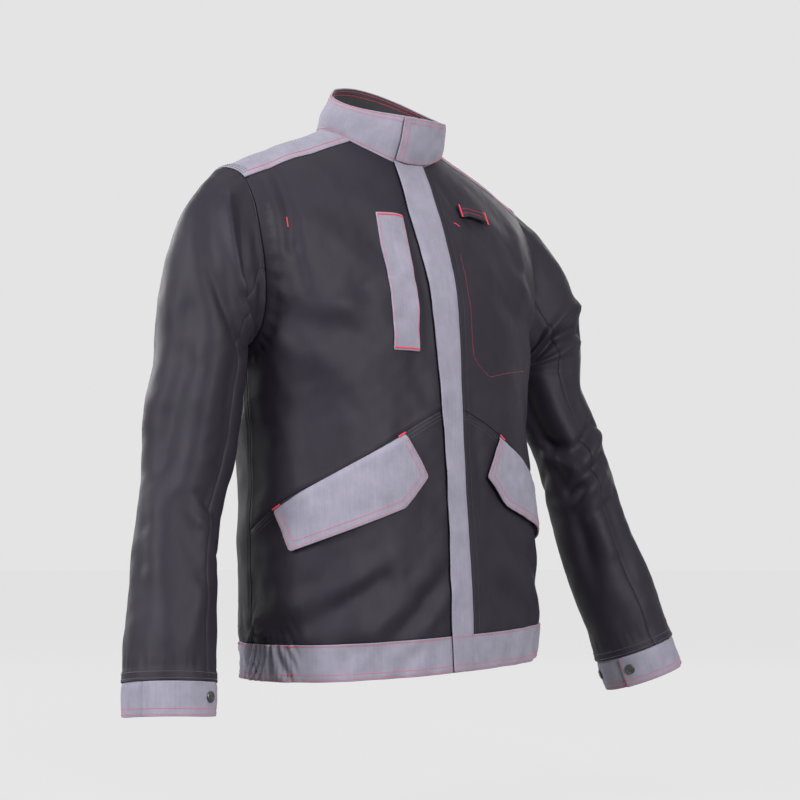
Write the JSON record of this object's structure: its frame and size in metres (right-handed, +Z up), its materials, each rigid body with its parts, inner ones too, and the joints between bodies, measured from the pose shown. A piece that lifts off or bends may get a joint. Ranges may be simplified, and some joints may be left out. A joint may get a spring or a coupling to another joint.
{
  "type": "work jacket",
  "caption": "Waist-length two-tone protective work jacket with stand collar, storm flap, slanted flap pockets, chest pocket, elasticated hem band and press-stud cuffs, closed and upright.",
  "frame": {"origin": "middle of the hanger loop's gap at the nape, inside the collar seam", "axes": "+Z up, +X towards the wearer's left, -Y the way the wearer faces"},
  "size_m": [0.8267, 0.2905, 0.793],
  "materials": {
    "charcoal_satin": "woven satin-twill, soft sheen",
    "grey_twill": "woven twill, soft sheen",
    "dark_lining": "matte woven lining",
    "elastic": "ribbed elastic",
    "hook_and_loop": "matte hook and loop pile",
    "stud_metal": "black lacquered press stud",
    "label": "blank woven label"
  },
  "bodies": {
    "shell": {"back_hem_band": "grey_twill", "back_panel": "charcoal_satin", "care_label": "label", "chest_pocket_bag": "dark_lining", "chest_pocket_welt": "grey_twill", "collar_lining": "dark_lining", "collar_loop_tape": "hook_and_loop", "collar_outer": "grey_twill", "fly_socket_1": "stud_metal", "fly_socket_2": "stud_metal", "fly_socket_3": "stud_metal", "fly_socket_4": "stud_metal", "fly_socket_5": "stud_metal", "fly_stud_1": "stud_metal", "fly_stud_2": "stud_metal", "fly_stud_3": "stud_metal", "fly_stud_4": "stud_metal", "fly_stud_5": "stud_metal", "hanger_loop": "charcoal_satin", "left_flap_loop_tape": "hook_and_loop", "left_front_facing": "dark_lining", "left_front_lower": "charcoal_satin", "left_front_upper": "charcoal_satin", "left_hem_band": "grey_twill", "left_inner_pocket": "dark_lining", "left_pocket_bag": "dark_lining", "left_side_elastic": "elastic", "radio_loop": "charcoal_satin", "right_flap_loop_tape": "hook_and_loop", "right_fly_underlap": "dark_lining", "right_front_lower": "charcoal_satin", "right_front_upper": "charcoal_satin", "right_hem_band": "grey_twill", "right_pocket_bag": "dark_lining", "right_side_elastic": "elastic", "shoulder_yoke": "grey_twill"},
    "storm_flap": {"storm_flap": "grey_twill"},
    "collar_tab": {"collar_tab": "grey_twill", "collar_tab_hook": "hook_and_loop"},
    "right_pocket_flap": {"right_pocket_flap": "grey_twill", "right_flap_hook_tape": "hook_and_loop"},
    "left_pocket_flap": {"left_pocket_flap": "grey_twill", "left_flap_hook_tape": "hook_and_loop"},
    "right_sleeve": {"right_top_sleeve": "charcoal_satin", "right_under_sleeve": "charcoal_satin", "right_cuff": "grey_twill", "right_cuff_post": "stud_metal", "right_cuff_spare_stud": "stud_metal"},
    "left_sleeve": {"left_top_sleeve": "charcoal_satin", "left_under_sleeve": "charcoal_satin", "left_cuff": "grey_twill", "left_cuff_post": "stud_metal", "left_cuff_spare_stud": "stud_metal"},
    "right_cuff_tab": {"right_cuff_tab": "grey_twill", "right_cuff_cap": "stud_metal"},
    "left_cuff_tab": {"left_cuff_tab": "grey_twill", "left_cuff_cap": "stud_metal"}
  },
  "joints": [
    {"name": "storm_flap_open", "type": "hinge", "parent": "shell", "child": "storm_flap", "pos_m": [0.0145, -0.2265, -0.686], "axis": [0.006, 0.0619, 0.9981], "range_deg": [0, 110]},
    {"name": "collar_tab_open", "type": "hinge", "parent": "shell", "child": "collar_tab", "pos_m": [0.06546, -0.10163, -0.03796], "axis": [-0.1229, -0.3828, 0.9156], "range_deg": [0, 120]},
    {"name": "right_pocket_flap_lift", "type": "hinge", "parent": "shell", "child": "right_pocket_flap", "pos_m": [-0.1586, -0.1748, -0.443], "axis": [-0.7063, 0.523, -0.4771], "range_deg": [0, 110]},
    {"name": "left_pocket_flap_lift", "type": "hinge", "parent": "shell", "child": "left_pocket_flap", "pos_m": [0.1586, -0.1748, -0.443], "axis": [-0.7063, -0.523, 0.4771], "range_deg": [0, 110]},
    {"name": "right_sleeve_raise", "type": "hinge", "parent": "shell", "child": "right_sleeve", "pos_m": [-0.24, -0.055, -0.08], "axis": [0, 1, 0], "range_deg": [0, 60]},
    {"name": "left_sleeve_raise", "type": "hinge", "parent": "shell", "child": "left_sleeve", "pos_m": [0.24, -0.055, -0.08], "axis": [0, -1, 0], "range_deg": [0, 60]},
    {"name": "right_cuff_tab_open", "type": "hinge", "parent": "right_sleeve", "child": "right_cuff_tab", "pos_m": [-0.40536, -0.12866, -0.70051], "axis": [-0.0783, -0.1044, -0.9915], "range_deg": [0, 100]},
    {"name": "left_cuff_tab_open", "type": "hinge", "parent": "left_sleeve", "child": "left_cuff_tab", "pos_m": [0.38292, -0.21482, -0.67331], "axis": [-0.2788, 0.1917, 0.941], "range_deg": [0, 100]}
  ]
}
